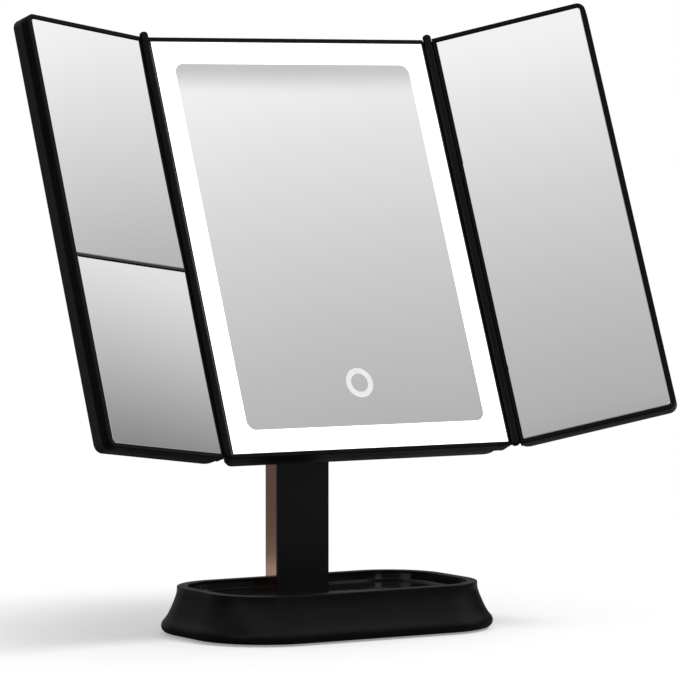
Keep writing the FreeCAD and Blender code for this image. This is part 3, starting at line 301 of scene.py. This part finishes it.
# round the outer corners, then grind all the edges
def grindPane(piece, corners):
    weights = piece.data.attributes.new("bevel_weight_edge", "FLOAT", "EDGE")
    for edge in piece.data.edges:
        ends = [piece.data.vertices[number].co for number in edge.vertices]
        for across, up in corners:
            if all(math.hypot(end.x - across, end.y - up) < paneLook["near"] for end in ends):
                weights.data[edge.index].value = 1.0
    corner = piece.modifiers.new("corner", "BEVEL")
    corner.width = paneLook["corner"]
    corner.segments = paneLook["cornerSegments"]
    corner.limit_method = "WEIGHT"
    grind = piece.modifiers.new("groundEdge", "BEVEL")
    grind.width = paneLook["groundEdge"]
    grind.segments = paneLook["edgeSegments"]
    grind.limit_method = "ANGLE"
    grind.angle_limit = math.radians(paneLook["edgeAngle"])
    for modifier in ("corner", "groundEdge"):
        bpy.ops.object.modifier_apply(modifier=modifier)


def makePane(pane):
    width = pane["to"][0] - pane["from"][0]
    height = pane["to"][1] - pane["from"][1]
    across = pane["side"] * (pane["to"][0] + pane["from"][0]) / 2
    up = (pane["to"][1] + pane["from"][1]) / 2
    bpy.ops.object.select_all(action="DESELECT")
    bpy.ops.mesh.primitive_grid_add(x_subdivisions=paneLook["columns"], y_subdivisions=paneLook["rows"], size=1.0)
    piece = bpy.context.object
    piece.name = pane["name"]
    piece.scale = (width, height, 1.0)
    bpy.ops.object.transform_apply(location=False, rotation=False, scale=True)
    if pane["ball"]:
        dishPane(piece, pane["ball"], width, height)
    thicken = piece.modifiers.new("thickness", "SOLIDIFY")
    thicken.thickness = paneLook["thick"]
    thicken.offset = -1.0  # all of it behind the front
    bpy.ops.object.modifier_apply(modifier="thickness")
    grindPane(piece, [(sideways * width / 2, upward * height / 2) for sideways, upward in pane["rounded"]])
    # stand it upright in its wing
    upright = Matrix.Translation((across, paneLook["recess"], up)) @ Matrix.Rotation(math.radians(90), 4, "X")
    piece.matrix_world = wingPlace(pane["side"]) @ upright
    bpy.ops.object.transform_apply(location=True, rotation=True, scale=True)
    bpy.ops.object.shade_smooth_by_angle(angle=math.radians(paneLook["smoothAngle"]))
    piece.data.materials.append(finishes["mirror_glass"])
    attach(piece, pane["body"])
    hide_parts(pane["node"])


for pane in paneSizes:
    makePane(pane)
print("wing glasses made")


# stage: pale floor, studio light and world
floorLook = {"size": 30.0, "colour": 0.84, "rough": 0.9, "shine": 0.1,
             "glow": 0.30, "fadeFrom": 0.10, "fadeTo": 0.27, "dimFrom": -1.0, "dimTo": 1.5,
             "dim": [(0.12, 0.50), (0.28, 0.15), (0.44, 0.15), (0.456, 0.84), (0.496, 0.84), (0.536, 0.2),
                     (1.0, 0.15)]}


def makeFloor():
    bpy.ops.object.select_all(action="DESELECT")
    bpy.ops.mesh.primitive_plane_add(size=floorLook["size"], location=(0, 0, 0))
    floor = bpy.context.object
    floor.name = "studioFloor"
    material, tree, shader = newMaterial("paleFloor")
    shader.inputs["Roughness"].default_value = floorLook["rough"]
    shader.inputs["Specular IOR Level"].default_value = floorLook["shine"]
    # the floor turns into the white sweep away from the mirror
    place = tree.nodes.new("ShaderNodeTexCoord")
    reach = addNode(tree, "ShaderNodeVectorMath", operation="LENGTH")
    tree.links.new(place.outputs["Object"], reach.inputs[0])
    fade = spread(tree, reach.outputs["Value"], floorLook["fadeFrom"], floorLook["fadeTo"], "SMOOTHSTEP")
    tint = greyRamp(tree, fade, [(0.0, floorLook["colour"]), (1.0, 0.0)])
    glow = greyRamp(tree, fade, [(0.0, floorLook["glow"]), (1.0, 1.0)])
    rays = tree.nodes.new("ShaderNodeLightPath")
    lift = maths(tree, "MULTIPLY", rays.outputs["Is Camera Ray"], glow)
    # polished faces see a dimmer floor, lighter far in front of the mirror and just behind it
    split = tree.nodes.new("ShaderNodeSeparateXYZ")
    tree.links.new(place.outputs["Object"], split.inputs["Vector"])
    depth = spread(tree, split.outputs["Y"], floorLook["dimFrom"], floorLook["dimTo"])
    seen = greyRamp(tree, depth, floorLook["dim"])
    colour = blend(tree, rays.outputs["Is Glossy Ray"], tint, seen, "RGBA")
    tree.links.new(colour, shader.inputs["Base Color"])
    shader.inputs["Emission Color"].default_value = white
    tree.links.new(lift, shader.inputs["Emission Strength"])
    floor.data.materials.append(material)


# gleams: whether polished faces see the lamp
lampPlaces = [
    {"name": "keyLamp", "place": (0.87, -1.04, 1.86), "target": (0.0, 0.0, 0.05), "size": 0.6, "power": 22.0,
     "gleams": False},
    {"name": "lowFrontLamp", "place": (-0.2, -2.6, 0.5), "target": (0.0, 0.0, 0.05), "size": 0.7, "power": 1.6,
     "gleams": True},
]


def makeLamps():
    for look in lampPlaces:
        bpy.ops.object.select_all(action="DESELECT")
        bpy.ops.object.light_add(type="AREA", location=look["place"])
        lamp = bpy.context.object
        lamp.name = look["name"]
        lamp.data.size = look["size"]
        lamp.data.energy = look["power"]
        lamp.visible_glossy = look["gleams"]
        aim = Vector(look["target"]) - Vector(look["place"])
        lamp.rotation_euler = aim.to_track_quat("-Z", "Y").to_euler()


# the room that polished faces see: a panel in front that brightens upwards, a divided one on the right,
# a plain glow on the left and dim walls behind; turns are in radians from straight ahead
worldLook = {"room": 0.52, "backdrop": 1.0,
             "frontFrom": 0.0, "frontTo": 0.77, "frontSpread": 0.2,
             "front": [(0.0, 0.12), (0.50, 0.16), (0.68, 0.28), (0.77, 0.46), (0.857, 0.28), (0.8793, 0.475),
                       (0.9091, 0.585), (0.935, 0.70), (0.961, 0.845), (0.9766, 0.96)],
             "topLean": 0.32, "topFrom": 0.8328, "topTo": 0.8372, "topDim": 0.64,
             "sideStart": 1.0, "sideEnd": 1.15, "sideFrom": 0.38, "sideTo": 0.44, "sideLean": 0.6, "sideTurn": 1.36,
             "side": [(0.06, 0.24), (0.083, 0.27), (0.413, 0.86), (0.44, 0.86), (0.455, 0.46), (0.482, 0.48),
                      (0.90, 0.93), (0.98, 1.0)],
             "leftStart": -0.92, "leftEnd": -1.25, "left": 0.7,
             "backStart": 1.44, "backEnd": 1.6, "behindFrom": 2.1, "behindTo": 2.5, "behind": [(0.0, 0.03), (1.0, 0.2)],
             "upperFrom": 0.25, "upperTo": 0.55, "upperBehind": 0.4}


def makeWorld():
    world = bpy.data.worlds.new("studioWorld")
    bpy.context.scene.world = world
    world.use_nodes = True
    tree = world.node_tree
    background = tree.nodes["Background"]
    rays = tree.nodes.new("ShaderNodeLightPath")
    place = tree.nodes.new("ShaderNodeTexCoord")
    split = tree.nodes.new("ShaderNodeSeparateXYZ")
    tree.links.new(place.outputs["Generated"], split.inputs["Vector"])
    height = split.outputs["Z"]
    ahead = maths(tree, "MULTIPLY", split.outputs["Y"], -1.0)
    turn = maths(tree, "ARCTAN2", split.outputs["X"], ahead)
    away = maths(tree, "ABSOLUTE", turn)
    frontHeight = maths(tree, "MULTIPLY_ADD", away, worldLook["frontSpread"], height)
    front = greyRamp(tree, spread(tree, frontHeight, worldLook["frontFrom"], worldLook["frontTo"]), worldLook["front"])
    # the front panel's upper end turns darker
    topHeight = maths(tree, "MULTIPLY_ADD", turn, worldLook["topLean"], height)
    upper = greyRamp(tree, spread(tree, topHeight, worldLook["topFrom"], worldLook["topTo"]),
                     [(0.0, 1.0), (1.0, worldLook["topDim"])])
    frontLight = maths(tree, "MULTIPLY", front, upper)
    # the side panel leans, so its tones step along a slope
    sideTurn = maths(tree, "SUBTRACT", turn, worldLook["sideTurn"])
    sideHeight = maths(tree, "MULTIPLY_ADD", sideTurn, -worldLook["sideLean"], height)
    side = greyRamp(tree, spread(tree, sideHeight, worldLook["sideFrom"], worldLook["sideTo"]), worldLook["side"])
    beside = spread(tree, turn, worldLook["sideStart"], worldLook["sideEnd"], "SMOOTHSTEP")
    leftward = spread(tree, turn, worldLook["leftStart"], worldLook["leftEnd"], "SMOOTHSTEP")
    panels = blend(tree, leftward, blend(tree, beside, frontLight, side), worldLook["left"])
    # dim walls behind, lighter high up
    behind = spread(tree, away, worldLook["backStart"], worldLook["backEnd"], "SMOOTHSTEP")
    walls = greyRamp(tree, spread(tree, away, worldLook["behindFrom"], worldLook["behindTo"]), worldLook["behind"])
    aloft = spread(tree, height, worldLook["upperFrom"], worldLook["upperTo"], "SMOOTHSTEP")
    polished = blend(tree, behind, panels, blend(tree, aloft, walls, worldLook["upperBehind"]))
    indoors = blend(tree, rays.outputs["Is Glossy Ray"], worldLook["room"], polished)
    seen = blend(tree, rays.outputs["Is Camera Ray"], indoors, worldLook["backdrop"])
    tree.links.new(seen, background.inputs["Strength"])
    background.inputs["Color"].default_value = white


# camera at the photograph's angle, worked out from the head's centre
cameraLook = {"azimuth": -31.186, "elevation": 3.002, "distance": 2.1873, "shiftRight": 0.00467, "shiftUp": -0.04958,
              "focusPixels": 4359.6, "imageWidth": 680.0, "sensor": 36.0, "clipEnd": 50.0}


def makeCamera():
    turn = math.radians(cameraLook["azimuth"])
    lift = math.radians(cameraLook["elevation"])
    back = Vector((math.sin(turn) * math.cos(lift), -math.cos(turn) * math.cos(lift), math.sin(lift)))
    right = Vector((math.cos(turn), math.sin(turn), 0.0))
    up = back.cross(right)
    data = bpy.data.cameras.new("photoCamera")
    data.sensor_fit = "HORIZONTAL"
    data.sensor_width = cameraLook["sensor"]
    data.lens = cameraLook["focusPixels"] / cameraLook["imageWidth"] * cameraLook["sensor"]
    data.clip_end = cameraLook["clipEnd"]
    camera = bpy.data.objects.new("photoCamera", data)
    bpy.context.scene.collection.objects.link(camera)
    camera.location = (Vector(headLook["centre"]) + back * cameraLook["distance"]
                       + right * cameraLook["shiftRight"] + up * cameraLook["shiftUp"])
    camera.rotation_euler = Matrix((right, up, back)).transposed().to_euler()
    bpy.context.scene.camera = camera


makeFloor()
makeLamps()
makeWorld()
makeCamera()
bpy.context.scene.view_settings.view_transform = "Standard"
print("stage and camera ready")
